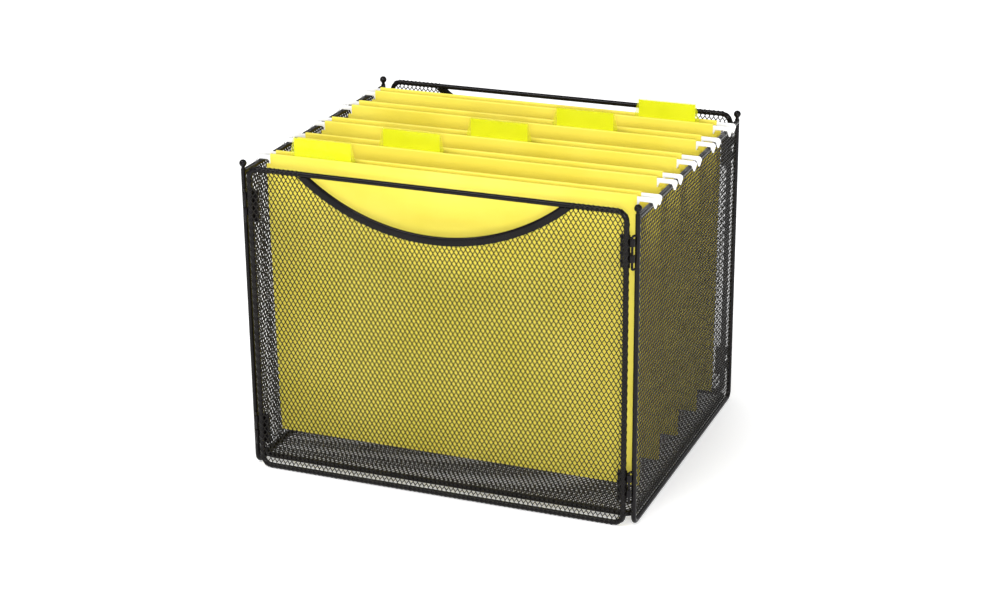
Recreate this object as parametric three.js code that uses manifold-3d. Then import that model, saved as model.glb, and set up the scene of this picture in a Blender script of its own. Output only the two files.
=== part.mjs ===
// Hanging file rack: two wire-and-mesh side frames that carry the folder rails, two mesh panels
// hinged between them, a mesh floor, and five hanging folders whose rods hook over the rails.
// Millimetres, +Z up, +X to the right, the front panel on the -Y side, origin under the middle.
import * as THREE from "three";
import { mergeVertices } from "three/addons/utils/BufferGeometryUtils.js";
import Module from "manifold-3d";

const wasm = await Module();
wasm.setup();

// Driving dimensions -------------------------------------------------------------------------
const RAIL_SPACING = 311; // between the two rail centres, for letter size hanging folders
const POST_SPACING = 254; // front post to back post
const RACK_HEIGHT = 247.1; // to the centre of the ball on a post
const GAP = 0.3; // left between pieces that touch on the real rack
const ROD_GAP = 0.4; // the same beside a rod, whose flats reach out a little

const SIDE_ROD_R = 1.9; // bent rod of a side frame
const SIDE_BEND = 6; // its bend radius
const RAIL_R = 2;
const RAIL_DROP = 6.4; // rail centre below ball centre
const BALL_R = 2.9;
const NECK_R = 1.25;
const PANEL_ROD_R = 2; // rod around the front and back panels, and around the floor
const PANEL_BEND = 7.5;
const PANEL_HALF_W = 148.5; // to the centre of the rod
const PANEL_TOP_DROP = 2.15; // top rod centre below ball centre
const PANEL_LIFT = 0.4; // panel rod held this much higher than the side rod
const PANEL_OUT = 4.2; // panel plane outside the post plane
const MESH_T = 1; // thickness of an expanded mesh sheet

const HANDLE_R = 166; // lower edge of the arched handle strip
const HANDLE_BAND = 6.3; // its width
const HANDLE_LOW = 202.9; // lowest point of its lower edge
const HANDLE_T = 3.2; // front to back

const HINGE_HEIGHT = 25;
const HINGE_FOOTS = [19.4, 202.4]; // lower ends of the two hinges on a corner
const PIN_R = 0.9;
const PIN_BEND = 1;
const PIN_FROM_PANEL = 4.5; // pin axis beyond the panel rod's centre
const KNUCKLE_IN = 1.2;
const KNUCKLE_OUT = 1.9;
const KNUCKLES = [[5.5, 11.5], [17.5, 23.5]]; // above the foot of the hinge
const KNUCKLE_ROOT = 0.4; // of a knuckle, over the leaf
const KNUCKLE_LIP = 0.6; // beyond the pin's axis, where a knuckle ends
const LEAF_W = 7.4;
const LEAF_T = 1;

const FLOOR_ROD_Z = 5.5;
const FLOOR_HALF_W = 152.6;
const FLOOR_HALF_D = 121;

const FOLDER_W = 298.5; // 11 3/4 inches
const FOLDER_TOP = 248.1;
const FOLDER_CREASE = 16.9;
const CARD_T = 0.8;
const ROD_POCKET = 12; // depth of the upright hem that a rod lies in
// Each folder: where its front rod and its back rod hang, from the front of the rack to the back.
const FOLDER_RODS = [[-100, -90.5], [-53.7, -40], [-5, 7.7], [45, 59], [91, 101.5]];
const HANGER_T = 1.6;
const HANGER_TOP = 246.7;
const HANGER_DEPTH = 8.3; // of the strip inside the card
const HANGER_HALF_STRIP = 146;
const HOOK_HALF_SPAN = 161.6; // to the outside of a hook
const HOOK_TIP_DROP = 4.4; // tip below the underside of the bar
const HOOK_TIP_W = 1;
const HOOK_BESIDE_RAIL = 1.6; // from the rail to the tip
const HOOK_STEP = 2; // length over which the strip narrows to the bar of the hook
const HOOK_CORNER = [[0, 2.6], [0.6, 0.9], [2, 0.1]]; // in from the end, and down from the top
const TAB_TOP = 262.4;
const TAB_FOOT = 238.5;
const TAB_W = 53.5;
const TAB_T = 0.8;
const TAB_PITCH = 52.6;
const TAB_SHIFT = 2; // of the middle tab, from the middle of its folder
const TAB_SLANT = [3, 13]; // how far an end leans in, over the part that shows
const TAB_CORNER = [3, 4]; // cut off each corner at the foot

// Sizes that follow ----------------------------------------------------------------------------
const railX = RAIL_SPACING / 2;
const postY = POST_SPACING / 2;
const railZ = RACK_HEIGHT - RAIL_DROP;
const panelY = postY + PANEL_OUT;
const panelLow = SIDE_ROD_R + PANEL_LIFT;
const panelHigh = RACK_HEIGHT - PANEL_TOP_DROP;
const handleZ = HANDLE_LOW + HANDLE_R;
const postTop = railZ + RAIL_R;
const hangerUnder = postTop + ROD_GAP;

// Finishes ---------------------------------------------------------------------------------------
const finish = (color, roughness, metalness) =>
  new THREE.MeshStandardMaterial({ color, roughness, metalness });
const blackCoat = finish(0x1b191b, 0.42, 0.1);
const yellowCard = finish(0xf2e23c, 0.75, 0);
const whiteCoat = finish(0xf4f4f2, 0.4, 0);
const tabPlastic = finish(0xe9ec06, 0.25, 0);

// Solids -----------------------------------------------------------------------------------------
// A geometry as a manifold-3d solid, turned right way out.
function solid(geometry) {
  const bare = geometry.index ? geometry.toNonIndexed() : geometry.clone();
  bare.deleteAttribute("normal");
  bare.deleteAttribute("uv");
  const merged = mergeVertices(bare, 1e-3);
  const corners = new Uint32Array(merged.index.array);
  const build = () =>
    new wasm.Manifold(
      new wasm.Mesh({
        numProp: 3,
        vertProperties: merged.attributes.position.array,
        triVerts: corners,
      }),
    );
  const made = build();
  if (made.volume() > 0) return made;
  for (let i = 0; i < corners.length; i += 3) {
    [corners[i + 1], corners[i + 2]] = [corners[i + 2], corners[i + 1]];
  }
  return build();
}

// A solid back as a three.js geometry.
function geometryOf(made) {
  const mesh = made.getMesh();
  const points = new Float32Array(mesh.numVert * 3);
  for (let i = 0; i < mesh.numVert; i++) {
    points.set(mesh.vertProperties.subarray(i * mesh.numProp, i * mesh.numProp + 3), i * 3);
  }
  return new THREE.BufferGeometry()
    .setAttribute("position", new THREE.BufferAttribute(points, 3))
    .setIndex(new THREE.BufferAttribute(mesh.triVerts, 1))
    .toNonIndexed();
}

// A route through given points, swept with one step from each point to the next.
class BentWire extends THREE.Curve {
  constructor(points) {
    super();
    this.points = points;
  }
  getPoint(t, target = new THREE.Vector3()) {
    const place = t * (this.points.length - 1);
    const i = Math.min(Math.floor(place), this.points.length - 2);
    return target.lerpVectors(this.points[i], this.points[i + 1], place - i);
  }
  getPointAt(u, target) {
    return this.getPoint(u, target);
  }
  getTangentAt(u, target = new THREE.Vector3()) {
    const last = this.points.length - 1;
    const i = Math.round(u * last);
    const behind = this.points[Math.max(i - 1, 0)];
    const ahead = this.points[Math.min(i + 1, last)];
    return target.subVectors(ahead, behind).normalize();
  }
}

// A round wire of radius r through points; its section has flats square to the wire's plane.
function wire(points, r, sides = 12) {
  const corner = r / Math.cos(Math.PI / sides);
  const section = new THREE.Shape(
    Array.from({ length: sides }, (_, i) => {
      const angle = ((i + 0.5) * 2 * Math.PI) / sides;
      return new THREE.Vector2(corner * Math.cos(angle), corner * Math.sin(angle));
    }),
  );
  const extrudePath = new BentWire(points);
  return solid(new THREE.ExtrudeGeometry(section, { steps: points.length - 1, extrudePath }));
}

// Points of a quarter bend between two straight runs that meet at a corner.
function bend(corner, before, after, radius, steps = 5) {
  const a = corner.clone().addScaledVector(before, radius);
  const b = corner.clone().addScaledVector(after, radius);
  const centre = a.clone().addScaledVector(after, radius);
  return Array.from({ length: steps + 1 }, (_, i) => {
    const t = (i / steps) * (Math.PI / 2);
    return centre
      .clone()
      .addScaledVector(a.clone().sub(centre), Math.cos(t))
      .addScaledVector(b.clone().sub(centre), Math.sin(t));
  });
}

// A closed rectangular loop with rounded corners, in the plane of u and v, made of two halves.
function loop(centre, u, v, halfU, lowV, highV, radius, r) {
  const at = (a, b) => centre.clone().addScaledVector(u, a).addScaledVector(v, b);
  const half = (side) => {
    const out = u.clone().multiplyScalar(side);
    const back = out.clone().negate();
    const down = v.clone().negate();
    return wire(
      [
        at(-side, lowV),
        ...bend(at(side * halfU, lowV), back, v, radius),
        ...bend(at(side * halfU, highV), down, back, radius),
        at(-side, highV),
      ],
      r,
    );
  };
  return half(1).add(half(-1));
}

const X = new THREE.Vector3(1, 0, 0);
const Y = new THREE.Vector3(0, 1, 0);
const Z = new THREE.Vector3(0, 0, 1);
const point = (x, y, z) => new THREE.Vector3(x, y, z);

// A flat outline given in X and Z, with its thickness centred on y.
function plateXZ(outline, thickness, y, curveSegments = 12) {
  const geometry = new THREE.ExtrudeGeometry(outline, {
    depth: thickness,
    bevelEnabled: false,
    curveSegments,
  });
  geometry.applyMatrix4(new THREE.Matrix4().makeBasis(X, Z, Y.clone().negate()));
  return geometry.translate(0, y + thickness / 2, 0);
}

// A flat outline given in Y and Z, with its thickness centred on x.
function plateYZ(outline, thickness, x) {
  const geometry = new THREE.ExtrudeGeometry(outline, {
    depth: thickness,
    bevelEnabled: false,
    curveSegments: 4,
  });
  geometry.applyMatrix4(new THREE.Matrix4().makeBasis(Y, Z, X));
  return geometry.translate(x - thickness / 2, 0, 0);
}

function outlineOf(pairs) {
  return new THREE.Shape(pairs.map(([a, b]) => new THREE.Vector2(a, b)));
}

// The rack ---------------------------------------------------------------------------------------
const rack = new THREE.Group();

function place(name, shape, material) {
  const geometry = shape.isBufferGeometry ? shape : geometryOf(shape);
  geometry.computeVertexNormals();
  const mesh = new THREE.Mesh(geometry, material);
  mesh.name = name;
  rack.add(mesh);
}

// A side frame: one rod bent down, along and up again.
function sideFrame(side) {
  const x = side * railX;
  const down = Z.clone().negate();
  const front = Y.clone().negate();
  return wire(
    [
      point(x, -postY, postTop),
      ...bend(point(x, -postY, SIDE_ROD_R), Z, Y, SIDE_BEND),
      ...bend(point(x, postY, SIDE_ROD_R), front, down.negate(), SIDE_BEND),
      point(x, postY, postTop),
    ],
    SIDE_ROD_R,
  );
}

function topRail(side) {
  const end = postY - SIDE_ROD_R / Math.cos(Math.PI / 12) - GAP;
  return wire([point(side * railX, -end, railZ), point(side * railX, end, railZ)], RAIL_R);
}

// The sheet inside a side frame, under the rail.
function sideMesh(side) {
  const inset = SIDE_ROD_R + ROD_GAP;
  const y = postY - inset;
  const low = SIDE_ROD_R + inset;
  const high = railZ - RAIL_R - ROD_GAP;
  const r = SIDE_BEND - inset;
  const outline = new THREE.Shape();
  outline.moveTo(-y, high);
  outline.lineTo(-y, low + r);
  outline.absarc(-y + r, low + r, r, Math.PI, 1.5 * Math.PI, false);
  outline.lineTo(y - r, low);
  outline.absarc(y - r, low + r, r, 1.5 * Math.PI, 2 * Math.PI, false);
  outline.lineTo(y, high);
  return plateYZ(outline, MESH_T, side * railX);
}

// The ball on top of a post, with the neck that goes into the rod's end.
function finial(x, y) {
  const neckTop = RACK_HEIGHT - Math.sqrt(BALL_R ** 2 - NECK_R ** 2);
  const from = Math.asin((neckTop - RACK_HEIGHT) / BALL_R);
  const steps = 8;
  const profile = [new THREE.Vector2(0, postTop + GAP), new THREE.Vector2(NECK_R, postTop + GAP)];
  for (let i = 0; i < steps; i++) {
    const angle = from + (i / steps) * (Math.PI / 2 - from);
    const across = BALL_R * Math.cos(angle);
    profile.push(new THREE.Vector2(across, RACK_HEIGHT + BALL_R * Math.sin(angle)));
  }
  profile.push(new THREE.Vector2(0, RACK_HEIGHT + BALL_R));
  const geometry = new THREE.LatheGeometry(profile, 16);
  return solid(geometry.rotateX(Math.PI / 2).translate(x, y, 0));
}

for (const [side, word] of [[-1, "left"], [1, "right"]]) {
  place(word + "_side_frame", sideFrame(side), blackCoat);
  place(word + "_top_rail", topRail(side), blackCoat);
  place(word + "_side_mesh", solid(sideMesh(side)), blackCoat);
  for (const [end, where] of [[-1, "front"], [1, "back"]]) {
    place(where + "_" + word + "_ball", finial(side * railX, end * postY), blackCoat);
  }
}

// The floor lies on the shoulders of the two bottom rods.
place(
  "floor_frame",
  loop(
    point(0, 0, FLOOR_ROD_Z), X, Y,
    FLOOR_HALF_W, -FLOOR_HALF_D, FLOOR_HALF_D, PANEL_BEND, PANEL_ROD_R,
  ),
  blackCoat,
);

// A rectangle with rounded corners.
function roundedOutline(halfW, low, high, r) {
  const outline = new THREE.Shape();
  outline.moveTo(-halfW, low + r);
  outline.absarc(-halfW + r, low + r, r, Math.PI, 1.5 * Math.PI, false);
  outline.absarc(halfW - r, low + r, r, 1.5 * Math.PI, 2 * Math.PI, false);
  outline.absarc(halfW - r, high - r, r, 0, 0.5 * Math.PI, false);
  outline.absarc(-halfW + r, high - r, r, 0.5 * Math.PI, Math.PI, false);
  return outline;
}

const sheetInset = PANEL_ROD_R + ROD_GAP;
const floorSheet = new THREE.ExtrudeGeometry(
  roundedOutline(
    FLOOR_HALF_W - sheetInset,
    -FLOOR_HALF_D + sheetInset,
    FLOOR_HALF_D - sheetInset,
    PANEL_BEND - sheetInset,
  ),
  { depth: MESH_T, bevelEnabled: false, curveSegments: 4 },
);
place("floor_mesh", solid(floorSheet.translate(0, 0, FLOOR_ROD_Z - MESH_T / 2)), blackCoat);

// Front and back panels ---------------------------------------------------------------------------
// Half of the width of an arc about the handle's centre, at a height z.
function handleHalfWidth(radius, z) {
  return Math.sqrt(radius ** 2 - (handleZ - z) ** 2);
}

// The sheet of a panel, with the handle's opening cut out of its top.
function panelMesh(end) {
  const halfW = PANEL_HALF_W - sheetInset;
  const low = panelLow + sheetInset;
  const high = panelHigh - sheetInset;
  const whole = plateXZ(
    roundedOutline(halfW, low, high, PANEL_BEND - sheetInset), MESH_T, end * panelY, 4,
  );
  const disc = new THREE.Shape();
  disc.absarc(0, handleZ, HANDLE_R + GAP, 0, 2 * Math.PI, false);
  return solid(whole).subtract(solid(plateXZ(disc, 4 * MESH_T, end * panelY, 64)));
}

// The strip that edges the opening, an arc with both ends against the top rod.
function handleTrim(end) {
  const z = panelHigh - PANEL_ROD_R - ROD_GAP;
  const outer = Math.asin(handleHalfWidth(HANDLE_R, z) / HANDLE_R);
  const inner = Math.asin(handleHalfWidth(HANDLE_R - HANDLE_BAND, z) / (HANDLE_R - HANDLE_BAND));
  const down = -Math.PI / 2;
  const band = new THREE.Shape();
  band.absarc(0, handleZ, HANDLE_R, down - outer, down + outer, false);
  band.absarc(0, handleZ, HANDLE_R - HANDLE_BAND, down + inner, down - inner, true);
  return solid(plateXZ(band, HANDLE_T, end * panelY, 24));
}

// A hinge is drawn once, for the front right corner: the pin on the Z axis, the panel towards -X
// and the post behind it. The other three corners are its mirror images.
const pinX = PANEL_HALF_W + PIN_FROM_PANEL;

function hingeAt(made, sideX, sideY, foot) {
  const geometry = geometryOf(made);
  geometry.scale(sideX, -sideY, 1);
  return solid(geometry.translate(sideX * pinX, sideY * panelY, foot));
}

// The leaf: a plate behind the panel rod, and two knuckles bent round the pin, open to the post.
const leafNear = -(PIN_FROM_PANEL - PANEL_ROD_R);
const leafY = PANEL_ROD_R + ROD_GAP;
const leafPlate = new THREE.BoxGeometry(LEAF_W, LEAF_T, HINGE_HEIGHT)
  .translate(leafNear - LEAF_W / 2, leafY + LEAF_T / 2, HINGE_HEIGHT / 2);
const knuckle = new THREE.Shape();
knuckle.moveTo(leafNear - KNUCKLE_ROOT, leafY);
knuckle.lineTo(-KNUCKLE_OUT, leafY);
knuckle.absarc(0, 0, KNUCKLE_OUT, Math.PI, 2 * Math.PI, false);
knuckle.lineTo(KNUCKLE_OUT, KNUCKLE_LIP);
knuckle.lineTo(KNUCKLE_IN, KNUCKLE_LIP);
knuckle.absarc(0, 0, KNUCKLE_IN, 2 * Math.PI, Math.PI, true);
knuckle.lineTo(-KNUCKLE_IN, leafY + LEAF_T);
knuckle.lineTo(leafNear - KNUCKLE_ROOT, leafY + LEAF_T);
let leaf = solid(leafPlate);
for (const [low, high] of KNUCKLES) {
  const bent = new THREE.ExtrudeGeometry(knuckle, {
    depth: high - low,
    bevelEnabled: false,
    curveSegments: 8,
  });
  leaf = leaf.add(solid(bent.translate(0, 0, low)));
}

// The pin: a staple of thin rod whose two ends are welded to the post.
const toPost = point(railX - pinX, panelY - postY, 0);
const pinReach = toPost.length() - SIDE_ROD_R - ROD_GAP;
toPost.normalize();
const postEnd = (z) => toPost.clone().multiplyScalar(pinReach).setZ(z);
const pinStaple = wire(
  [
    postEnd(0),
    ...bend(point(0, 0, 0), toPost, Z, PIN_BEND, 3),
    ...bend(point(0, 0, HINGE_HEIGHT), Z.clone().negate(), toPost, PIN_BEND, 3),
    postEnd(HINGE_HEIGHT),
  ],
  PIN_R,
  8,
);

for (const [end, panel] of [[-1, "front"], [1, "back"]]) {
  place(
    panel + "_panel_frame",
    loop(
      point(0, end * panelY, 0), X, Z,
      PANEL_HALF_W, panelLow, panelHigh, PANEL_BEND, PANEL_ROD_R,
    ),
    blackCoat,
  );
  place(panel + "_panel_mesh", panelMesh(end), blackCoat);
  place(panel + "_handle_trim", handleTrim(end), blackCoat);
  for (const [side, word] of [[-1, "left"], [1, "right"]]) {
    HINGE_FOOTS.forEach((foot, i) => {
      const where = [panel, word, ["lower", "upper"][i]].join("_");
      place(where + "_hinge_leaf", hingeAt(leaf, side, end, foot), blackCoat);
      place(where + "_hinge_pin", hingeAt(pinStaple, side, end, foot), blackCoat);
    });
  }
}

// Folders -------------------------------------------------------------------------------------------
// The card: one sheet folded at the bottom, its two flaps held apart by the two rods.
function jacket(frontRod, backRod) {
  const middle = (frontRod + backRod) / 2;
  const inner = HANGER_T / 2 + GAP;
  const outer = inner + CARD_T;
  const hem = FOLDER_TOP - ROD_POCKET;
  const outline = outlineOf([
    [frontRod - outer, FOLDER_TOP],
    [frontRod - outer, hem],
    [middle - CARD_T, FOLDER_CREASE],
    [middle + CARD_T, FOLDER_CREASE],
    [backRod + outer, hem],
    [backRod + outer, FOLDER_TOP],
    [backRod + inner, FOLDER_TOP],
    [backRod + inner, hem],
    [middle, FOLDER_CREASE + 2 * CARD_T],
    [frontRod - inner, hem],
    [frontRod - inner, FOLDER_TOP],
  ]);
  return solid(plateYZ(outline, FOLDER_W, 0));
}

// One flat strip whose two ends go over the rails and end in a downward tip.
function hangerRod(y) {
  const tipX = railX + RAIL_R + HOOK_BESIDE_RAIL;
  const half = [
    [HANGER_HALF_STRIP, HANGER_TOP - HANGER_DEPTH],
    [HANGER_HALF_STRIP + HOOK_STEP, hangerUnder],
    [railX + RAIL_R, hangerUnder],
    [tipX, hangerUnder - HOOK_TIP_DROP],
    [tipX + HOOK_TIP_W, hangerUnder - HOOK_TIP_DROP],
    ...HOOK_CORNER.map(([inward, down]) => [HOOK_HALF_SPAN - inward, HANGER_TOP - down]),
  ];
  const mirrored = half.map(([x, z]) => [-x, z]).reverse();
  return solid(plateXZ(outlineOf([...half, ...mirrored]), HANGER_T, y));
}

// The index tab stands behind the front flap.
function tab(frontRod, column) {
  const x = (column - 2) * TAB_PITCH + TAB_SHIFT;
  const y = frontRod + HANGER_T / 2 + GAP + TAB_T / 2;
  const half = [
    [TAB_W / 2 - TAB_CORNER[0], TAB_FOOT],
    [TAB_W / 2, TAB_FOOT + TAB_CORNER[1]],
    [TAB_W / 2, TAB_TOP - TAB_SLANT[1]],
    [TAB_W / 2 - TAB_SLANT[0], TAB_TOP],
  ];
  const mirrored = half.map(([across, z]) => [-across, z]).reverse();
  const outline = outlineOf([...half, ...mirrored].map(([across, z]) => [x + across, z]));
  return solid(plateXZ(outline, TAB_T, y));
}

FOLDER_RODS.forEach(([frontRod, backRod], i) => {
  const folder = "folder_" + (i + 1);
  place(folder + "_jacket", jacket(frontRod, backRod), yellowCard);
  place(folder + "_front_rod", hangerRod(frontRod), whiteCoat);
  place(folder + "_back_rod", hangerRod(backRod), whiteCoat);
  place(folder + "_tab", tab(frontRod, i), tabPlastic);
});

export default rack;
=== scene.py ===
# %% [markdown]
# # A hanging file rack in wire, expanded metal and card
#
# The rack is two side frames of bent rod with a rail on top of each, two hinged panels of
# expanded metal, a floor of the same stuff, and five card folders that hang on the rails.
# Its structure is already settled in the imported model. This script gives every piece its
# finished surface, and takes each size and place from that model. Lengths are in metres.

# %% Load the frame
import math

import bmesh
import bpy
from mathutils import Matrix, Vector


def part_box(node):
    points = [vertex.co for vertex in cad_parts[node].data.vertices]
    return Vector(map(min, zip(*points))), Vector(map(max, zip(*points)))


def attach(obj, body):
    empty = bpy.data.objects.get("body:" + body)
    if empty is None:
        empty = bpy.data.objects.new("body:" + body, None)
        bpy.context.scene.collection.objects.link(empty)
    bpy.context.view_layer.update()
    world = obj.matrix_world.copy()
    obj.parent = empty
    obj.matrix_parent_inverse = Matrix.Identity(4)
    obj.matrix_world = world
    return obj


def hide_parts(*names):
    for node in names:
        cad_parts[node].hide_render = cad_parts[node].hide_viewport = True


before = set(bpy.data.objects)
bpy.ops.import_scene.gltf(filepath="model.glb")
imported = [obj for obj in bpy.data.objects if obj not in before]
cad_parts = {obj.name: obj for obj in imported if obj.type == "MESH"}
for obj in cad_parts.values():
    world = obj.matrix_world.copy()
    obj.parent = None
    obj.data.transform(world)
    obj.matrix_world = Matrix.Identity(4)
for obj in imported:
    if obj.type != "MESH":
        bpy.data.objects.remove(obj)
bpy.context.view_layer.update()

MM = 0.001

# %% [markdown]
# ## Working habits
#
# Operators act on whatever is selected, and the loaded nodes start out selected, so each
# piece begins with nothing selected. A finished piece leaves edit mode, has its place put
# into its mesh, gets a material and a body to ride on, and stands in for its plain node.

# %% Helpers for starting and finishing a piece
def clear_selection():
    if bpy.context.object and bpy.context.object.mode != "OBJECT":
        bpy.ops.object.mode_set(mode="OBJECT")
    bpy.ops.object.select_all(action="DESELECT")


def pick(piece):
    clear_selection()
    piece.select_set(True)
    bpy.context.view_layer.objects.active = piece


def edit(piece, mode="VERT"):
    pick(piece)
    bpy.ops.object.mode_set(mode="EDIT")
    bpy.ops.mesh.select_mode(type=mode)


def select_faces(piece, wanted):
    """Selects the faces that pass the test, and leaves edit mode on."""
    edit(piece, "FACE")
    bpy.ops.mesh.select_all(action="DESELECT")
    bpy.ops.object.mode_set(mode="OBJECT")
    for face in piece.data.polygons:
        face.select = wanted(face)
    bpy.ops.object.mode_set(mode="EDIT")


def select_points(piece, wanted):
    """Selects the points that pass the test, and leaves edit mode on."""
    edit(piece, "VERT")
    bpy.ops.mesh.select_all(action="DESELECT")
    bpy.ops.object.mode_set(mode="OBJECT")
    for vertex in piece.data.vertices:
        vertex.select = wanted(vertex.co)
    bpy.ops.object.mode_set(mode="EDIT")


def settle(piece):
    pick(piece)
    bpy.ops.object.transform_apply(location=True, rotation=True, scale=True)


def modify(piece, kind, **values):
    """Adds one modifier with these values and applies it."""
    pick(piece)
    modifier = piece.modifiers.new(kind.lower(), kind)
    for key, value in values.items():
        setattr(modifier, key, value)
    bpy.ops.object.modifier_apply(modifier=modifier.name)


def finish_piece(piece, name, material, body, slot, *nodes, smooth=None):
    """Names a piece, gives it its finish, and puts it on its body in place of its nodes."""
    settle(piece)
    piece.name = name
    piece.data.name = name
    piece.data.materials.clear()
    piece.data.materials.append(material)
    if smooth:
        bpy.ops.object.shade_smooth_by_angle(angle=math.radians(smooth))
    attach(piece, body)
    if nodes:
        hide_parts(*nodes)
    return piece


def span(node, axis):
    low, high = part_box(node)
    return low[axis], high[axis]


print("helpers ready")

# %% [markdown]
# ## The camera
#
# The rack is seen from a little above and from its right. The lens is a long one, a little
# over twice the width of the film, which keeps the upright rods nearly parallel.

# %% Camera
CAMERA_AZIMUTH = math.radians(21.72)
CAMERA_ELEVATION = math.radians(20.85)
CAMERA_ROLL = math.radians(0.49)
CAMERA_DISTANCE = 1.743
CAMERA_AIM = Vector((0.0002, 0, 0.1126))
FILM = 36
FOCAL_IN_WIDTHS = 2.188

bpy.ops.object.camera_add()
camera = bpy.context.object
towards_camera = Vector((
    math.sin(CAMERA_AZIMUTH) * math.cos(CAMERA_ELEVATION),
    -math.cos(CAMERA_AZIMUTH) * math.cos(CAMERA_ELEVATION),
    math.sin(CAMERA_ELEVATION),
))
camera.location = CAMERA_AIM + CAMERA_DISTANCE * towards_camera
aim = (-towards_camera).to_track_quat("-Z", "Y").to_matrix().to_4x4()
roll = Matrix.Rotation(-CAMERA_ROLL, 4, "Z")
camera.rotation_euler = (aim @ roll).to_euler()
camera.data.sensor_width = FILM
camera.data.lens = FILM * FOCAL_IN_WIDTHS
bpy.context.scene.camera = camera
print("camera at", [round(c, 3) for c in camera.location], "lens", round(camera.data.lens, 1))

# %% [markdown]
# ## A white studio
#
# A rack of black wire reads best on plain white. One large white floor, an even white sky
# and four soft lights give clean silhouettes, a soft shadow under the rack and gentle
# highlights on the rods. The floor also glows a little, less under the rack than around it,
# so that only the shadow close to the rack stays visible.

# %% Floor, sky and lights
FLOOR_SIZE = 30
FLOOR_DROP = 0.2 * MM
SKY_STRENGTH = 0.48
GLOW_REACH = {"From Min": 0.13, "From Max": 0.29, "To Min": 0.3, "To Max": 0.6}


def plain_material(name, color, roughness):
    material = bpy.data.materials.new(name)
    material.use_nodes = True
    shader = material.node_tree.nodes["Principled BSDF"]
    shader.inputs["Base Color"].default_value = (*color, 1)
    shader.inputs["Roughness"].default_value = roughness
    return material


clear_selection()
bpy.ops.mesh.primitive_plane_add(size=FLOOR_SIZE, location=(0, 0, -FLOOR_DROP))
floor = bpy.context.object
floor.name = "studio_floor"
white = plain_material("studio white", (0.86, 0.86, 0.86), 0.9)
tree = white.node_tree
place = tree.nodes.new("ShaderNodeTexCoord")
distance = tree.nodes.new("ShaderNodeVectorMath")
distance.operation = "LENGTH"
glow = tree.nodes.new("ShaderNodeMapRange")
glow.interpolation_type = "SMOOTHSTEP"
for end, value in GLOW_REACH.items():
    glow.inputs[end].default_value = value
tree.links.new(place.outputs["Object"], distance.inputs[0])
tree.links.new(distance.outputs["Value"], glow.inputs["Value"])
shader = tree.nodes["Principled BSDF"]
shader.inputs["Emission Color"].default_value = (1, 1, 1, 1)
tree.links.new(glow.outputs["Result"], shader.inputs["Emission Strength"])
floor.data.materials.append(white)

world = bpy.data.worlds.new("studio sky")
world.use_nodes = True
sky = world.node_tree.nodes["Background"]
sky.inputs["Color"].default_value = (1, 1, 1, 1)
sky.inputs["Strength"].default_value = SKY_STRENGTH
bpy.context.scene.world = world
bpy.context.scene.view_settings.view_transform = "Standard"


def soft_light(name, place, width, height, power, aim=(0, 0, 0.12)):
    """An area light that looks at the middle of the rack, or at another aim."""
    clear_selection()
    bpy.ops.object.light_add(type="AREA", location=place)
    light = bpy.context.object
    light.name = name
    light.data.shape = "RECTANGLE"
    light.data.size = width
    light.data.size_y = height
    light.data.energy = power
    look = Vector(aim) - Vector(place)
    light.rotation_euler = look.to_track_quat("-Z", "Y").to_euler()
    return light


soft_light("key light", (-0.7, -1.36, 2.0), 1.9, 0.55, 36, aim=(-0.7, 0, 0.12))
soft_light("front light", (0.9, -2.25, 0.75), 0.4, 0.4, 25)
soft_light("right light", (2.0, -0.7, 0.8), 0.7, 0.7, 13, aim=(0.15, 0, 0.12))
soft_light("back light", (0.5, 1.9, 1.3), 0.4, 0.4, 3)
print("studio ready")

# %% [markdown]
# ## Black powder coat
#
# The wire is baked with a black powder coat. Up close that is a fine orange-peel skin, a
# little uneven in gloss, not a flat black. A small noise moves the surface a few microns,
# and a larger one varies the roughness and lifts the black slightly here and there.

# %% Powder coat
def link(tree, output, target):
    tree.links.new(output, target)


def noise(tree, scale, detail=4.0, stretch=None):
    """A noise that stays with the object, perhaps stretched along one direction."""
    place = tree.nodes.new("ShaderNodeTexCoord")
    pattern = tree.nodes.new("ShaderNodeTexNoise")
    pattern.inputs["Scale"].default_value = scale
    pattern.inputs["Detail"].default_value = detail
    if stretch:
        mapping = tree.nodes.new("ShaderNodeMapping")
        mapping.inputs["Scale"].default_value = stretch
        link(tree, place.outputs["Object"], mapping.inputs["Vector"])
        link(tree, mapping.outputs["Vector"], pattern.inputs["Vector"])
    else:
        link(tree, place.outputs["Object"], pattern.inputs["Vector"])
    return pattern.outputs["Fac"]


def spread(tree, source, low, high):
    """Turns a noise into a value that runs from low to high."""
    ramp = tree.nodes.new("ShaderNodeMapRange")
    ramp.inputs["From Min"].default_value = 0.3
    ramp.inputs["From Max"].default_value = 0.7
    ramp.inputs["To Min"].default_value = low
    ramp.inputs["To Max"].default_value = high
    link(tree, source, ramp.inputs["Value"])
    return ramp.outputs["Result"]


def two_tones(tree, source, dark, light):
    ramp = tree.nodes.new("ShaderNodeValToRGB")
    ramp.color_ramp.elements[0].position = 0.3
    ramp.color_ramp.elements[1].position = 0.7
    ramp.color_ramp.elements[0].color = (*dark, 1)
    ramp.color_ramp.elements[1].color = (*light, 1)
    link(tree, source, ramp.inputs["Fac"])
    return ramp.outputs["Color"]


def bump(tree, source, distance, strength=1.0):
    node = tree.nodes.new("ShaderNodeBump")
    node.inputs["Distance"].default_value = distance
    node.inputs["Strength"].default_value = strength
    link(tree, source, node.inputs["Height"])
    return node.outputs["Normal"]


def new_material(name):
    material = bpy.data.materials.new(name)
    material.use_nodes = True
    return material, material.node_tree, material.node_tree.nodes["Principled BSDF"]


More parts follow.
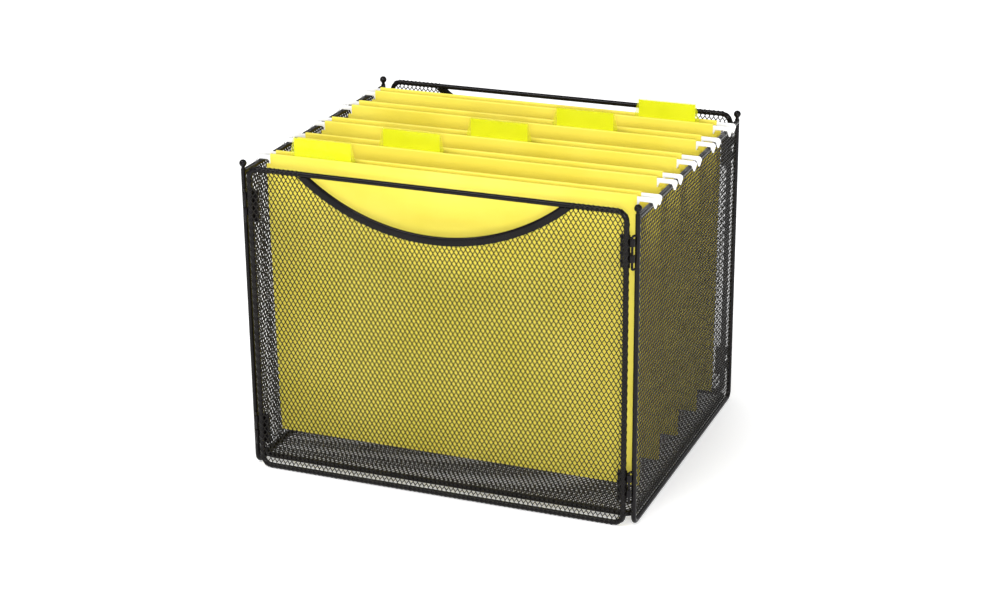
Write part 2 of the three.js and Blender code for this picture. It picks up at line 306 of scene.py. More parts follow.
def powder_coat(name, dark, light, roughness, peel, shine):
    material, tree, shader = new_material(name)
    link(tree, two_tones(tree, noise(tree, 60), dark, light), shader.inputs["Base Color"])
    link(tree, spread(tree, noise(tree, 180), *roughness), shader.inputs["Roughness"])
    link(tree, bump(tree, noise(tree, 900, 2), peel, 0.5), shader.inputs["Normal"])
    shader.inputs["Specular IOR Level"].default_value = shine
    return material


ROD_COAT = powder_coat(
    "black powder coat", dark=(0.0025, 0.002, 0.0025), light=(0.006, 0.005, 0.0055),
    roughness=(0.16, 0.23), peel=0.02 * MM, shine=0.15,
)
MESH_COAT = powder_coat(
    "black coat on mesh", dark=(0.003, 0.0025, 0.002), light=(0.009, 0.0075, 0.0055),
    roughness=(0.30, 0.42), peel=0.06 * MM, shine=0.17,
)
print("coats ready")

# %% [markdown]
# ## Bent rods
#
# Every frame is a length of round rod, bent in a jig. That is how it is modelled too: a
# circle is the end of the rod, extruding it is a straight run, and spinning it about a
# point to one side is a bend. The spin operator turns the other way round from the
# right-hand rule here, so the helper changes the sign.

# %% The rod bender
ROUND = 16
BEND_STEPS = 8
QUARTER = math.pi / 2
AXES = {"X": Vector((1, 0, 0)), "Y": Vector((0, 1, 0)), "Z": Vector((0, 0, 1))}
FACING = {"X": (0, QUARTER, 0), "Y": (QUARTER, 0, 0), "Z": (0, 0, 0)}


def start_rod(place, facing, radius):
    """The end of a rod at a place, square to the axis that it faces. Leaves edit mode on."""
    clear_selection()
    bpy.ops.mesh.primitive_circle_add(
        vertices=ROUND, radius=radius, fill_type="NOTHING", location=place,
        rotation=FACING[facing],
    )
    piece = bpy.context.object
    settle(piece)
    edit(piece)
    bpy.ops.mesh.select_all(action="SELECT")
    return piece


def run(step):
    bpy.ops.mesh.extrude_region_move(TRANSFORM_OT_translate={"value": step})


def turn(centre, axis, angle, steps=BEND_STEPS):
    bpy.ops.mesh.spin(steps=steps, angle=-angle, center=centre, axis=axis)


def bend_rod(start, directions, lengths, radius, bend_radius, closed):
    """Sweeps a rod along straight runs joined by quarter bends, the first run first."""
    facing = max("XYZ", key=lambda a: abs(directions[0].dot(AXES[a])))
    piece = start_rod(start, facing, radius)
    place = start.copy()
    for i, (direction, length) in enumerate(zip(directions, lengths)):
        run(direction * length)
        place += direction * length
        last = i == len(lengths) - 1
        if last and not closed:
            break
        after = directions[(i + 1) % len(directions)] if not last else None
        if after is None:
            break
        centre = place + after * bend_radius
        turn(centre, direction.cross(after), QUARTER)
        place = centre + direction * bend_radius
    bpy.ops.mesh.select_all(action="SELECT")
    bpy.ops.mesh.remove_doubles(threshold=1e-6)
    if not closed:
        bpy.ops.mesh.select_all(action="DESELECT")
        bpy.ops.mesh.select_non_manifold()
        bpy.ops.mesh.fill_holes(sides=ROUND)
    bpy.ops.mesh.select_all(action="SELECT")
    bpy.ops.mesh.normals_make_consistent(inside=False)
    bpy.ops.object.mode_set(mode="OBJECT")
    return piece


def compare(piece, node):
    """Prints how far a piece's box is from its node's box, in millimetres."""
    corners = [v.co for v in piece.data.vertices]
    low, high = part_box(node)
    worst = max(
        max(abs(min(c[a] for c in corners) - low[a]), abs(max(c[a] for c in corners) - high[a]))
        for a in range(3)
    )
    print(f"{piece.name}: {len(piece.data.polygons)} faces, box off by {worst / MM:.2f} mm")


print("rod bender ready")

# %% [markdown]
# ## Side frames and rails
#
# A side frame is one rod: down the front post, along the bottom, up the back post. The rail
# is a straight rod between the two posts, just under the balls.

# %% Side frames and rails
SIDE_BEND = 6 * MM
DOWN = -AXES["Z"]
side_radius = (span("left_side_frame", 0)[1] - span("left_side_frame", 0)[0]) / 2
for side in ("left", "right"):
    low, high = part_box(side + "_side_frame")
    x = (low.x + high.x) / 2
    front = low.y + side_radius
    back = high.y - side_radius
    bottom = low.z + side_radius
    upright = high.z - bottom - SIDE_BEND
    rod = bend_rod(
        Vector((x, front, high.z)),
        [DOWN, AXES["Y"], AXES["Z"]],
        [upright, back - front - 2 * SIDE_BEND, upright],
        side_radius, SIDE_BEND, False,
    )
    finish_piece(rod, side + "_side_rod", ROD_COAT, "rack", "black_coat",
                 side + "_side_frame", smooth=40)
    compare(rod, side + "_side_frame")

    low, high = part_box(side + "_top_rail")
    radius = (high.z - low.z) / 2
    weld = 1.2 * MM
    rail = bend_rod(
        Vector(((low.x + high.x) / 2, low.y - weld, (low.z + high.z) / 2)),
        [AXES["Y"]], [high.y - low.y + 2 * weld], radius, 0, False,
    )
    finish_piece(rail, side + "_rail_rod", ROD_COAT, "rack", "black_coat",
                 side + "_top_rail", smooth=40)
    compare(rail, side + "_top_rail")

# %% [markdown]
# ## Ball ends
#
# A ball with a short neck is pressed into the top of each post, so nothing catches a hand or
# a sleeve. A sphere is started at its place, and the ring of faces around its lowest point is
# pulled straight down into the neck.

# %% Ball ends
NECK_RADIUS = 1.25 * MM
for end in ("front", "back"):
    for side in ("left", "right"):
        node = f"{end}_{side}_ball"
        low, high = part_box(node)
        radius = (high.x - low.x) / 2
        centre = Vector(((low.x + high.x) / 2, (low.y + high.y) / 2, high.z - radius))
        clear_selection()
        bpy.ops.mesh.primitive_uv_sphere_add(
            segments=24, ring_count=18, radius=radius, location=centre,
        )
        ball = bpy.context.object
        settle(ball)
        select_faces(ball, lambda face: face.center.z < centre.z and (
            face.center - centre).xy.length < NECK_RADIUS)
        bpy.ops.mesh.extrude_region_move(
            TRANSFORM_OT_translate={"value": (0, 0, low.z - centre.z + radius - 1 * MM)},
        )
        bpy.ops.object.mode_set(mode="OBJECT")
        finish_piece(ball, f"{end}_{side}_ball_end", ROD_COAT, "rack", "black_coat", node,
                     smooth=40)
        compare(ball, node)

# %% [markdown]
# ## Panel frames and the floor frame
#
# These are closed loops. The rod starts in the middle of the bottom run, takes four bends
# and comes back to its own start, where the doubled ring is merged into one.

# %% Closed loops of rod
PANEL_BEND = 7.5 * MM


def loop_of(node, across, up):
    """The middle, half sizes and rod radius of a closed loop, from its box."""
    low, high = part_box(node)
    thick = 3 - across - up
    radius = (high[thick] - low[thick]) / 2
    centre = (low + high) / 2
    return centre, (high[across] - low[across]) / 2 - radius, (
        high[up] - low[up]) / 2 - radius, radius


def rod_loop(node, across, up):
    centre, half_across, half_up, radius = loop_of(node, across, up)
    a = Vector([1.0 if i == across else 0.0 for i in range(3)])
    b = Vector([1.0 if i == up else 0.0 for i in range(3)])
    long_run = 2 * (half_across - PANEL_BEND)
    tall_run = 2 * (half_up - PANEL_BEND)
    return bend_rod(
        centre - b * half_up,
        [a, b, -a, -b, a],
        [long_run / 2, tall_run, long_run, tall_run, long_run / 2],
        radius, PANEL_BEND, True,
    )


for node, across, up, body in (
    ("front_panel_frame", 0, 2, "front_panel"),
    ("back_panel_frame", 0, 2, "back_panel"),
    ("floor_frame", 0, 1, "rack"),
):
    loop = rod_loop(node, across, up)
    finish_piece(loop, node.replace("frame", "rod"), ROD_COAT, body, "black_coat", node,
                 smooth=40)
    compare(loop, node)

# %% [markdown]
# ## Expanded metal
#
# A sheet of steel is slit and pulled open, which leaves a net of diamonds with short bonds
# where the strands cross. A picture of a net would look flat, because each strand is a
# little bar that catches the light, so the net is real geometry. One six-sided cell is
# arrayed into a sheet, every cell is inset, and the insides are deleted: what stays is the
# strands. Pulling the sheet open also tips each strand, so the two sides of a cell are
# moved in opposite directions before the sheet gets its thickness.

# %% One flat sheet of cells
CELL_WIDTH = 3.69 * MM
CELL_ROW = 3.07 * MM
BOND = 0.6 * MM
STRAND = 0.66 * MM
SHEET = 0.45 * MM
TIP = 0.1 * MM


def cell_sheet(width, height):
    """Whole cells that cover a width and a height, centred on the origin."""
    clear_selection()
    bpy.ops.mesh.primitive_circle_add(vertices=6, radius=1, fill_type="NGON")
    sheet = bpy.context.object
    tip = CELL_ROW - BOND / 2
    edit(sheet)
    bpy.ops.mesh.select_all(action="SELECT")
    bpy.ops.transform.resize(value=(CELL_WIDTH / 2 / math.cos(math.pi / 6), tip, 1))
    bpy.ops.object.mode_set(mode="OBJECT")
    select_points(sheet, lambda point: abs(point.x) > CELL_WIDTH / 4)
    bpy.ops.transform.resize(
        value=(1, BOND / tip, 1), center_override=(0, 0, 0),
    )
    bpy.ops.object.mode_set(mode="OBJECT")
    columns = math.ceil(width / CELL_WIDTH) + 2
    pairs = math.ceil(height / (2 * CELL_ROW)) + 2
    for count, offset in (
        (columns, (CELL_WIDTH, 0, 0)),
        (2, (CELL_WIDTH / 2, CELL_ROW, 0)),
        (pairs, (0, 2 * CELL_ROW, 0)),
    ):
        modify(
            sheet, "ARRAY", count=count, use_relative_offset=False, use_constant_offset=True,
            constant_offset_displace=offset, use_merge_vertices=True, merge_threshold=1e-5,
        )
    edit(sheet)
    bpy.ops.mesh.select_all(action="SELECT")
    bpy.ops.mesh.remove_doubles(threshold=1e-5)
    bpy.ops.transform.translate(value=(
        -(columns - 1) * CELL_WIDTH / 2, -(pairs - 0.5) * CELL_ROW, 0,
    ))
    bpy.ops.object.mode_set(mode="OBJECT")
    return sheet


def keep_cells(sheet, wanted):
    """Deletes each cell whose middle isn't wanted."""
    select_faces(sheet, lambda face: not wanted(face.center.x, face.center.y))
    bpy.ops.mesh.delete(type="FACE")
    bpy.ops.object.mode_set(mode="OBJECT")


def snap_rim(sheet, onto):
    """Moves the points on the sheet's rim to where the rim is cut, if onto gives a place."""
    net = bmesh.new()
    net.from_mesh(sheet.data)
    for vertex in net.verts:
        if vertex.is_boundary:
            place = onto(vertex.co.x, vertex.co.y)
            if place:
                vertex.co.x, vertex.co.y = place
    net.to_mesh(sheet.data)
    net.free()


def open_cells(sheet, strand=STRAND, tip=TIP):
    """Insets every cell, tips its two sides apart and deletes its inside."""
    edit(sheet, "FACE")
    bpy.ops.mesh.select_all(action="SELECT")
    bpy.ops.mesh.inset(thickness=strand / 2, depth=0, use_individual=True,
                       use_even_offset=True)
    bpy.ops.object.mode_set(mode="OBJECT")
    points = sheet.data.vertices
    for face in sheet.data.polygons:
        if face.select:
            for index in face.vertices:
                lean = (points[index].co.x - face.center.x) / (CELL_WIDTH / 2)
                points[index].co.z = tip * max(-1, min(1, lean * 1.4))
    bpy.ops.object.mode_set(mode="EDIT")
    bpy.ops.mesh.delete(type="FACE")
    bpy.ops.object.mode_set(mode="OBJECT")


def shape_sheet(sheet, place, thickness=SHEET):
    """Puts each point where the sheet is on the rack, and gives the sheet its thickness."""
    for vertex in sheet.data.vertices:
        vertex.co = place(*vertex.co)
    sheet.data.update()
    modify(sheet, "SOLIDIFY", thickness=thickness, offset=0)
    print(sheet.name, "triangles", sum(len(f.vertices) - 2 for f in sheet.data.polygons))


print("cell", CELL_WIDTH / MM, "by", 2 * CELL_ROW / MM, "mm")

# %% [markdown]
# ## Rolling the hem over the rod
#
# On the panels and the floor the edge of the sheet is rolled over the rod, and the rod shows
# through its cells. So the sheet is laid out flat, wider than the frame, and each point asks
# how far it is past the middle of the rod. A point inside stays in the sheet, which rises to
# the face of the rod over the last few millimetres. A point outside goes round the rod by
# that distance. The field and the hem are two pieces, so that each stays light.

# %% Distance from a frame, and the rolled hem
RISE = 5 * MM
HEM = 6.6 * MM
FIELD_EDGE = -9 * MM


def from_loop(u, v, half_u, half_v, bend):
    """Distance outside the middle of a rounded loop, and the direction that leads away."""
    a = abs(u) - (half_u - bend)
    b = abs(v) - (half_v - bend)
    sign_u = math.copysign(1, u)
    sign_v = math.copysign(1, v)
    if a > 0 and b > 0:
        reach = math.hypot(a, b)
        return reach - bend, (sign_u * a / reach, sign_v * b / reach)
    if a > b:
        return a - bend, (sign_u, 0)
    return b - bend, (0, sign_v)


def rolled(u, v, lift, half_u, half_v, bend, wrap_radius, rise):
    """Where a point of the flat sheet ends up: two places in the plane, and one out of it."""
    distance, (away_u, away_v) = from_loop(u, v, half_u, half_v, bend)
    if distance <= 0:
        climb = max(0, min(1, 1 + distance / rise))
        return u, v, wrap_radius * (0.5 - 0.5 * math.cos(math.pi * climb)) + lift
    angle = distance / wrap_radius
    side = (wrap_radius + lift) * math.sin(angle) - distance
    return (
        u + away_u * side,
        v + away_v * side,
        (wrap_radius + lift) * math.cos(angle),
    )


print("hem wraps", round(math.degrees(HEM / (2.4 * MM))), "degrees of the rod")

# %% [markdown]
# ## Front and back sheets
#
# The arched handle is cut out of the top of these two. The rim of the cut is pulled onto one
# clean arc, which the trim strip then covers, and the hem stops where the bare rod begins.

# %% Front and back sheets
RIM_IN_TRIM = 3.0 * MM


def arc_of_trim(node):
    """Middle height and radius of the arc along a trim's lower edge, from its box."""
    low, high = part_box(node)
    half = (high.x - low.x) / 2
    sag = high.z - low.z
    radius = (half ** 2 + sag ** 2) / (2 * sag)
    return low.z + radius, radius


for end, outward in (("front", -1), ("back", 1)):
    centre, half_u, half_v, radius = loop_of(end + "_panel_frame", 0, 2)
    arc_z, arc_radius = arc_of_trim(end + "_handle_trim")
    arc_v = arc_z - centre.z
    rim = arc_radius - RIM_IN_TRIM
    wrap_radius = radius + SHEET / 4

    def from_arc(u, v):
        return math.hypot(u, arc_v - min(v, half_v)) - rim

    def onto_arc(u, v):
        away = from_arc(u, v)
        if v > half_v - 1 * MM or abs(away) > CELL_ROW:
            return None
        scale = rim / (rim + away)
        return u * scale, arc_v - (arc_v - v) * scale

    def place(u, v, lift):
        rise = RISE if abs(u) > 120 * MM or v < half_v - 20 * MM else 2 * MM
        a, b, out = rolled(u, v, lift, half_u, half_v, PANEL_BEND, wrap_radius, rise)
        return Vector((a, centre.y + outward * out, centre.z + b))

    for part, nearest, farthest in (("sheet", -1, FIELD_EDGE), ("hem", FIELD_EDGE, HEM)):
        sheet = cell_sheet(2 * (half_u + HEM), 2 * (half_v + HEM))

        def wanted(u, v):
            distance, _ = from_loop(u, v, half_u, half_v, PANEL_BEND)
            return nearest <= distance < farthest and from_arc(u, v) > 0

        keep_cells(sheet, wanted)
        snap_rim(sheet, onto_arc)
        open_cells(sheet)
        shape_sheet(sheet, place)
        nodes = [end + "_panel_mesh"] if part == "sheet" else []
        finish_piece(sheet, f"{end}_expanded_{part}", MESH_COAT, end + "_panel",
                     "black_mesh", *nodes)

# %% [markdown]
# ## Floor sheet
#
# The floor is the same sheet on its own loop of rod, lying flat, with its hem rolled down.

# %% Floor sheet
FLOOR_FIELD_EDGE = -13 * MM
STRONG_STRAND = 0.8 * MM
STRONG_SHEET = 0.5 * MM
centre, half_u, half_v, radius = loop_of("floor_frame", 0, 1)
wrap_radius = radius + SHEET / 4


def place_on_floor(u, v, lift):
    a, b, out = rolled(u, v, lift, half_u, half_v, PANEL_BEND, wrap_radius, RISE)
    return Vector((a, b, centre.z + out))


for part, nearest, farthest in (
    ("sheet", -1, FLOOR_FIELD_EDGE), ("hem", FLOOR_FIELD_EDGE, HEM / 2),
):
    sheet = cell_sheet(2 * (half_u + HEM), 2 * (half_v + HEM))
    keep_cells(sheet, lambda u, v: nearest <= from_loop(
        u, v, half_u, half_v, PANEL_BEND)[0] < farthest)
    open_cells(sheet, STRONG_STRAND, TIP)
    shape_sheet(sheet, place_on_floor, STRONG_SHEET)
    nodes = ["floor_mesh"] if part == "sheet" else []
    finish_piece(sheet, f"floor_expanded_{part}", MESH_COAT, "rack", "black_mesh", *nodes)

# %% [markdown]
# ## Side sheets
#
# The side sheets are welded to the inside of their posts, so the posts and the bottom rod
# stay bare. Their rim is cut to a clean line along the rod and under the rail. Their strands
# are wider than the panels'. That was chosen for the tone of a sheet seen at a slant, and
# the real rack very likely has one mesh throughout.

# %% Side sheets
WELD = 0.3 * MM
RAIL_ZONE = 12 * MM
POST_ZONE = 8 * MM
BEYOND_RAIL = 20 * MM
SIDE_TIP = 0.21 * MM
SIDE_STRAND = 0.93 * MM
for side, outward in (("left", -1), ("right", 1)):
    low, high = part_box(side + "_side_frame")
    x = (low.x + high.x) / 2
    post = high.y - side_radius
    bottom = low.z + side_radius
    under_rail = span(side + "_top_rail", 2)[0]
    mid_z = (bottom + under_rail) / 2
    half_z = (under_rail - bottom) / 2
    inset = side_radius - WELD

    def from_side(u, v):
        if v + mid_z > under_rail - RAIL_ZONE and abs(u) < post - POST_ZONE:
            return v - half_z - inset - WELD, (0, 1)
        square = v > 0
        loop_half = half_z + BEYOND_RAIL if square else half_z
        distance, away = from_loop(u, v, post, loop_half, SIDE_BEND)
        over = v - half_z - inset - WELD
        return (over, (0, 1)) if square and over > distance else (distance, away)

    def onto_rod(u, v):
        distance, (away_u, away_v) = from_side(u, v)
        if abs(distance + inset) > CELL_ROW:
            return None
        step = -inset - distance
        u, v = u + away_u * step, v + away_v * step
        return max(-post + inset, min(post - inset, u)), min(v, half_z + WELD)

    sheet = cell_sheet(2 * post, 2 * half_z)
    keep_cells(sheet, lambda u, v: from_side(u, v)[0] < -inset)
    snap_rim(sheet, onto_rod)
    open_cells(sheet, SIDE_STRAND, SIDE_TIP)
    shape_sheet(sheet, lambda u, v, lift: Vector((x + outward * lift, u, mid_z + v)),
                STRONG_SHEET)
    finish_piece(sheet, f"{side}_expanded_sheet", MESH_COAT, "rack", "black_mesh",
                 side + "_side_mesh")

# %% [markdown]
# ## Handle trim
#
# A strip folded into a narrow channel is pushed over the cut edge of the sheet, so a hand
# meets a round edge and not the ends of the strands. Its section is traced as a line: up one
# face, over the closed edge, down the other. Spinning that line about the middle of the arc
# makes the channel, which then gets its thickness and is cut off level with the rod.

# %% Tracing a line of points
def trace(start):
    """A single point to extrude from. Leaves edit mode on."""
    clear_selection()
    bpy.ops.mesh.primitive_plane_add(size=1 * MM, location=start)
    piece = bpy.context.object
    settle(piece)
    edit(piece)
    bpy.ops.mesh.select_all(action="SELECT")
    bpy.ops.mesh.merge(type="CENTER")
    return piece


def draw(step):
    bpy.ops.mesh.extrude_vertices_move(TRANSFORM_OT_translate={"value": step})


def trim_off(piece, point, normal):
    """Cuts away what lies on the side that the normal points to."""
    edit(piece)
    bpy.ops.mesh.select_all(action="SELECT")
    bpy.ops.mesh.bisect(
        plane_co=point, plane_no=Vector(normal).normalized(), clear_outer=True, use_fill=False,
    )
    bpy.ops.object.mode_set(mode="OBJECT")


TRIM_WALL = 0.6 * MM
TRIM_BAND = 6.3 * MM
for end in ("front", "back"):
    node = end + "_handle_trim"
    low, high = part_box(node)
    arc_z, arc_radius = arc_of_trim(node)
    y = (low.y + high.y) / 2
    half_thick = (high.y - low.y) / 2 - TRIM_WALL / 2
    flat = TRIM_BAND - half_thick - TRIM_WALL / 2
    sweep = 2 * math.asin((high.x - low.x) / 2 / arc_radius) + math.radians(3)
    tilt = -sweep / 2
    along = Vector((math.sin(tilt), 0, -math.cos(tilt)))
    middle = Vector((0, y, arc_z))
    strip = trace(middle + along * arc_radius + Vector((0, -half_thick, 0)))
    draw(-along * flat)
    fold = middle + along * (arc_radius - flat)
    turn(fold, along.cross(AXES["Y"]), -math.pi, 6)
    draw(along * flat)
    bpy.ops.mesh.select_all(action="SELECT")
    bpy.ops.mesh.spin(steps=64, angle=sweep, center=middle, axis=(0, 1, 0))
    bpy.ops.mesh.select_all(action="SELECT")
    bpy.ops.mesh.remove_doubles(threshold=1e-6)
    bpy.ops.mesh.normals_make_consistent(inside=False)
    bpy.ops.object.mode_set(mode="OBJECT")
    trim_off(strip, (0, 0, high.z + 0.5 * MM), (0, 0, 1))
    modify(strip, "SOLIDIFY", thickness=TRIM_WALL, offset=0, use_even_offset=True)
    finish_piece(strip, end + "_trim_strip", ROD_COAT, end + "_panel", "black_coat", node,
                 smooth=40)
    compare(strip, node)

# %% [markdown]
# ## Hinges
#
# Each corner has two small hinges. A leaf behind the panel's rod has two knuckles bent round
# a staple of thin rod on the post. The leaf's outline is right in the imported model, so a copy
# of it is merged, its flat faces are cleaned up, and its edges are rounded as a stamped and
# coated part's are. The staple is bent from round rod.

# %% Hinge leaves and pins
PIN_RADIUS = 0.9 * MM
PIN_BEND = 1.0 * MM


def rounded_copy(node, width, segments=2):
    """A merged copy of a node, with its flat faces whole again and its edges rounded."""
    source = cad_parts[node]
    clear_selection()
    piece = bpy.data.objects.new(node + "_copy", source.data.copy())
    bpy.context.scene.collection.objects.link(piece)
    edit(piece)
    bpy.ops.mesh.select_all(action="SELECT")
    bpy.ops.mesh.remove_doubles(threshold=1e-6)
    bpy.ops.mesh.dissolve_limited(angle_limit=math.radians(3))
    bpy.ops.object.mode_set(mode="OBJECT")
    modify(piece, "BEVEL", width=width, segments=segments, limit_method="ANGLE",
           angle_limit=math.radians(35), use_clamp_overlap=True)
    return piece


def bent_pin(node, side_sign, end_sign):
    """A staple: from the post, round into the pin, and back to the post."""
    low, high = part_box(node)
    pin_x = (low.x if side_sign > 0 else high.x) + side_sign * PIN_RADIUS
    pin_y = (high.y if end_sign > 0 else low.y) - end_sign * PIN_RADIUS
    foot = low.z + PIN_RADIUS
    head = high.z - PIN_RADIUS
    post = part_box(("right" if side_sign > 0 else "left") + "_side_frame")
    post_y = post[1].y - side_radius if end_sign > 0 else post[0].y + side_radius
    to_post = Vector(((post[0].x + post[1].x) / 2 - pin_x, post_y - pin_y, 0))
    reach = to_post.length - PIN_BEND
    to_post.normalize()
    pin = Vector((pin_x, pin_y, 0))
    upright = head - foot - 2 * PIN_BEND
    piece = start_rod(pin + Vector((0, 0, foot + PIN_BEND)), "Z", PIN_RADIUS)
    run(Vector((0, 0, upright)))
    turn(pin + to_post * PIN_BEND + Vector((0, 0, head - PIN_BEND)),
         AXES["Z"].cross(to_post), QUARTER, 4)
    run(to_post * reach)
    select_points(piece, lambda point: point.z < foot + PIN_BEND * 1.01)
    turn(pin + to_post * PIN_BEND + Vector((0, 0, foot + PIN_BEND)),
         DOWN.cross(to_post), QUARTER, 4)
    run(to_post * reach)
    bpy.ops.mesh.select_all(action="SELECT")
    bpy.ops.mesh.remove_doubles(threshold=1e-6)
    bpy.ops.mesh.select_all(action="DESELECT")
    bpy.ops.mesh.select_non_manifold()
    bpy.ops.mesh.fill_holes(sides=ROUND)
    bpy.ops.mesh.select_all(action="SELECT")
    bpy.ops.mesh.normals_make_consistent(inside=False)
    bpy.ops.object.mode_set(mode="OBJECT")
    return piece


for end, end_sign in (("front", -1), ("back", 1)):
    for side, side_sign in (("left", -1), ("right", 1)):
        for level in ("lower", "upper"):
            where = f"{end}_{side}_{level}"
            leaf = rounded_copy(where + "_hinge_leaf", 0.18 * MM)
            finish_piece(leaf, where + "_leaf", ROD_COAT, end + "_panel", "black_coat",
                         where + "_hinge_leaf", smooth=30)
            pin = bent_pin(where + "_hinge_pin", side_sign, end_sign)
            finish_piece(pin, where + "_pin", ROD_COAT, "rack", "black_coat",
                         where + "_hinge_pin", smooth=40)
print("hinges done")

# %% [markdown]
# ## Card, coated strip and tab plastic
#
# The jackets are dyed card. Card has short fibres that lie mostly one way, a slightly cloudy
# colour, and a matte face that is not quite flat. The hanging strips are steel dipped in white
# plastic, smooth and a little glossy. The tabs are clear, tinted plastic that glows at its
# edges, with a slip of paper inside.

# %% Folder finishes
def card_material():
    material, tree, shader = new_material("yellow card")
    cloud = noise(tree, 18, 5)
    link(tree, two_tones(tree, cloud, (0.80, 0.675, 0.06), (0.86, 0.73, 0.09)),
         shader.inputs["Base Color"])
    fibres = noise(tree, 700, 3, stretch=(0.25, 1, 1))
    link(tree, spread(tree, fibres, 0.48, 0.62), shader.inputs["Roughness"])
    link(tree, bump(tree, fibres, 0.00012, 0.5), shader.inputs["Normal"])
    shader.inputs["Specular IOR Level"].default_value = 0.5
    return material


def strip_material():
    material, tree, shader = new_material("white dipped steel")
    shader.inputs["Base Color"].default_value = (0.87, 0.87, 0.86, 1)
    link(tree, spread(tree, noise(tree, 120), 0.28, 0.4), shader.inputs["Roughness"])
    link(tree, bump(tree, noise(tree, 260, 2), 0.00008, 0.4), shader.inputs["Normal"])
    shader.inputs["Coat Weight"].default_value = 0.3
    return material


def tab_material():
    material, tree, shader = new_material("clear tab plastic")
    link(tree, two_tones(tree, noise(tree, 40, 2), (0.74, 0.77, 0.01), (0.80, 0.82, 0.03)),
         shader.inputs["Base Color"])
    shader.inputs["Roughness"].default_value = 0.12
    shader.inputs["Alpha"].default_value = 0.16
    link(tree, bump(tree, noise(tree, 150, 2), 0.00004, 0.3), shader.inputs["Normal"])
    return material


def slip_material():
    material, tree, shader = new_material("tab slip paper")
    link(tree, two_tones(tree, noise(tree, 90, 4), (0.74, 0.78, 0.0), (0.80, 0.83, 0.005)),
         shader.inputs["Base Color"])
    shader.inputs["Roughness"].default_value = 0.8
    link(tree, bump(tree, noise(tree, 900, 3), 0.00005, 0.5), shader.inputs["Normal"])
    return material


CARD = card_material()
STRIP = strip_material()
TAB = tab_material()
SLIP = slip_material()
print("folder finishes ready")

# %% [markdown]
# ## Folder jackets
#
# A jacket is one sheet. Its section is traced as a line: the glued flap inside the front hem,
# over the front strip, down the front, round the fold at the bottom with its score lines, up
# the back and over the back strip. The line is then extruded along the width of the folder in
# short steps, so that the card can bow a little, as card that hangs by its edges does. The two
# top corners are notched to let the strips out.

# %% Jackets
CARD_THICK = 0.3 * MM
PLY_OFFSET = 0.95 * MM
HEM_DEPTH = 11 * MM
GLUE_FLAP = 12 * MM
SCORES = (15 * MM, 7.5 * MM)
SCORE_STEP = 0.22 * MM
FOLD_HALF = 0.7 * MM
WIDTH_STEPS = 24
NOTCH_SIDE = 3.2 * MM
NOTCH_DEEP = 7.0 * MM
BOW = 1.3 * MM


def rod_y(node):
    low, high = span(node, 1)
    return (low + high) / 2


def jacket(folder, number):
    low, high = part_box(folder + "_jacket")
    front = rod_y(folder + "_front_rod")
    back = rod_y(folder + "_back_rod")
    middle = (front + back) / 2
    strip_top = span(folder + "_front_rod", 2)[1] + 0.15 * MM
    spots = [
        (front - PLY_OFFSET, strip_top - HEM_DEPTH),
        (middle - FOLD_HALF - 1.0 * MM, low.z + SCORES[0] + SCORE_STEP),
        (middle - FOLD_HALF - 0.6 * MM, low.z + SCORES[0]),
        (middle - FOLD_HALF - 0.35 * MM, low.z + SCORES[1]),
        (middle - FOLD_HALF, low.z + 1.0 * MM),
        (middle, low.z + CARD_THICK),
        (middle + FOLD_HALF, low.z + 1.0 * MM),
        (middle + FOLD_HALF + 0.35 * MM, low.z + SCORES[1]),
        (middle + FOLD_HALF + 0.6 * MM, low.z + SCORES[0]),
        (middle + FOLD_HALF + 1.0 * MM, low.z + SCORES[0] + SCORE_STEP),
        (back + PLY_OFFSET, strip_top - HEM_DEPTH),
    ]
    piece = trace(Vector((low.x, front + PLY_OFFSET, strip_top - GLUE_FLAP)))
    draw(Vector((0, 0, GLUE_FLAP)))
    turn(Vector((low.x, front, strip_top)), AXES["X"], math.pi, 8)
    here = Vector((low.x, front - PLY_OFFSET, strip_top))
    for y, z in spots:
        target = Vector((low.x, y, z))
        legs = 12 if (target - here).length > 100 * MM else 1
        for _ in range(legs):
            draw((target - here) / legs)
        here = target
    draw(Vector((0, 0, HEM_DEPTH)))
    turn(Vector((low.x, back, strip_top)), AXES["X"], math.pi, 8)
    draw(Vector((0, 0, -GLUE_FLAP)))
    bpy.ops.mesh.select_all(action="SELECT")
    step = (high.x - low.x) / WIDTH_STEPS
    for _ in range(WIDTH_STEPS):
        run(Vector((step, 0, 0)))
    bpy.ops.mesh.select_all(action="SELECT")
    bpy.ops.mesh.remove_doubles(threshold=1e-6)
    bpy.ops.mesh.normals_make_consistent(inside=False)
    hem = strip_top - NOTCH_DEEP
    notch_x = high.x - NOTCH_SIDE
    for sign in (-1, 1):
        bpy.ops.mesh.select_all(action="SELECT")
        bpy.ops.mesh.bisect(plane_co=(sign * notch_x, 0, 0),
                            plane_no=(1, 0, 0))
    bpy.ops.mesh.select_all(action="SELECT")
    bpy.ops.mesh.bisect(plane_co=(0, 0, hem), plane_no=(0, 0, 1))
    select_faces(piece, lambda face: abs(face.center.x) > notch_x and face.center.z > hem)
    bpy.ops.mesh.delete(type="FACE")
    bpy.ops.object.mode_set(mode="OBJECT")
    tall = strip_top - HEM_DEPTH - low.z
    for vertex in piece.data.vertices:
        share = (vertex.co.z - low.z) / tall
        if 0 < share < 1:
            swell = math.sin(math.pi * share) ** 2
            across = math.cos(math.pi * vertex.co.x / (high.x - low.x))
            lean = math.sin(3.1 * vertex.co.x / high.x + number)
            away = math.copysign(1, vertex.co.y - middle)
            vertex.co.y += BOW * swell * (0.45 * away * across + 0.3 * lean)
    modify(piece, "SOLIDIFY", thickness=CARD_THICK, offset=0)
    return piece


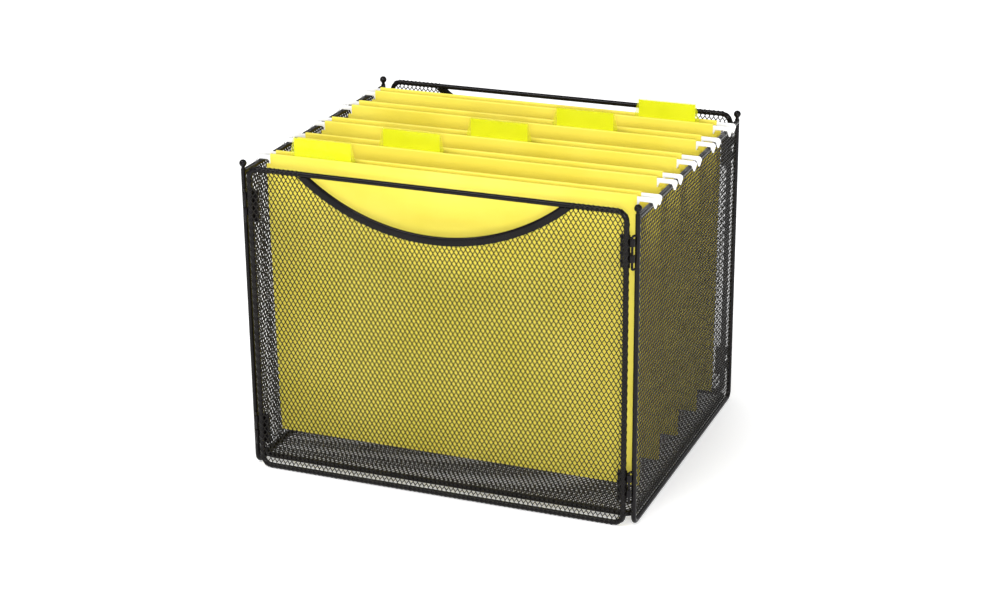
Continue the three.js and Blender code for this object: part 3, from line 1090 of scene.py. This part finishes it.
FOLDERS = [f"folder_{i}" for i in range(1, 6)]
for number, folder in enumerate(FOLDERS, 1):
    card = jacket(folder, number)
    finish_piece(card, folder + "_card", CARD, folder, "yellow_card", folder + "_jacket",
                 smooth=30)
    compare(card, folder + "_jacket")

# %% [markdown]
# ## Hanging strips
#
# The strip's outline, with its hooks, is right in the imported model. Dipping it in plastic
# rounds every edge, so a merged copy gets a wide bevel.

# %% Hanging strips
for folder in FOLDERS:
    for which in ("front", "back"):
        node = f"{folder}_{which}_rod"
        strip = rounded_copy(node, 0.45 * MM, 3)
        finish_piece(strip, f"{folder}_{which}_strip", STRIP, folder, "white_coated_rod",
                     node, smooth=40)
print("strips done")

# %% [markdown]
# ## Index tabs
#
# A tab is a strip of plastic folded over at the top, with its two ends cut on a slant, and a
# slip of paper between its two faces. It stands behind the front hem of the jacket.

# %% Index tabs
TAB_PLY = 0.16 * MM
TAB_SLANT = 3.0 * MM
TAB_SHOWS = 13 * MM
for folder in FOLDERS:
    node = folder + "_tab"
    low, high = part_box(node)
    y = (low.y + high.y) / 2
    half = (high.y - low.y) / 2 - TAB_PLY / 2
    fold_z = high.z - half - TAB_PLY / 2
    plastic = trace(Vector((low.x, y - half, low.z)))
    draw(Vector((0, 0, fold_z - low.z)))
    turn(Vector((low.x, y, fold_z)), AXES["X"], -math.pi, 6)
    draw(Vector((0, 0, low.z - fold_z)))
    bpy.ops.mesh.select_all(action="SELECT")
    run(Vector((high.x - low.x, 0, 0)))
    bpy.ops.mesh.select_all(action="SELECT")
    bpy.ops.mesh.remove_doubles(threshold=1e-6)
    bpy.ops.mesh.normals_make_consistent(inside=False)
    bpy.ops.object.mode_set(mode="OBJECT")
    for sign, edge in ((-1, low.x), (1, high.x)):
        corner = Vector((edge - sign * TAB_SLANT, 0, high.z))
        trim_off(plastic, corner, (sign * TAB_SHOWS, 0, TAB_SLANT))
    modify(plastic, "SOLIDIFY", thickness=TAB_PLY, offset=0)
    finish_piece(plastic, folder + "_tab_plastic", TAB, folder, "neon_tab", node, smooth=40)

    slip_top = high.z - 1.0 * MM
    slip_tall = slip_top - low.z - 2 * MM
    clear_selection()
    bpy.ops.mesh.primitive_cube_add(
        size=1, location=((low.x + high.x) / 2, y, slip_top - slip_tall / 2),
    )
    slip = bpy.context.object
    bpy.ops.transform.resize(
        value=(high.x - low.x - 2 * TAB_SLANT - 0.6 * MM, 0.16 * MM, slip_tall),
    )
    settle(slip)
    modify(slip, "BEVEL", width=0.05 * MM, segments=1)
    finish_piece(slip, folder + "_tab_slip", SLIP, folder, "neon_tab")
    compare(plastic, node)
print("tabs done")
